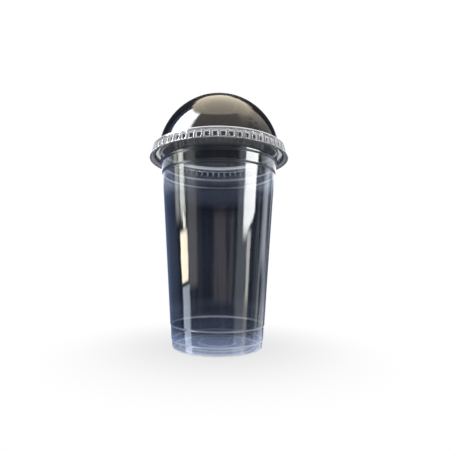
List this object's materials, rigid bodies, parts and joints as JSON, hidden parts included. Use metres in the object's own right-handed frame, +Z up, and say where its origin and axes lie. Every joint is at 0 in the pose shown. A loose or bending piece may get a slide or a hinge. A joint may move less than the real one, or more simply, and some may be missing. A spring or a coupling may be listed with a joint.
{
  "type": "disposable cup with dome lid",
  "caption": "Clear vacuum-formed drinks cup with a stepped, tapered wall and a rolled rim, closed by a lift-off dome lid whose flared ring has a row of pressed pockets.",
  "frame": {"origin": "centre of the foot ring, on the surface that the cup stands on", "axes": "+Z up along the axis of the cup and the lid; X and Y level"},
  "size_m": [0.1076, 0.1074, 0.1901],
  "materials": {
    "cup_clear": "clear gloss",
    "lid_clear": "clear gloss"
  },
  "bodies": {
    "cup_body": {"cup": "cup_clear"},
    "lid_body": {"lid": "lid_clear"}
  },
  "joints": [
    {"name": "lid_lift", "type": "slide", "parent": "cup_body", "child": "lid_body", "axis": [0, 0, 1], "range_m": [0, 0.1]}
  ]
}
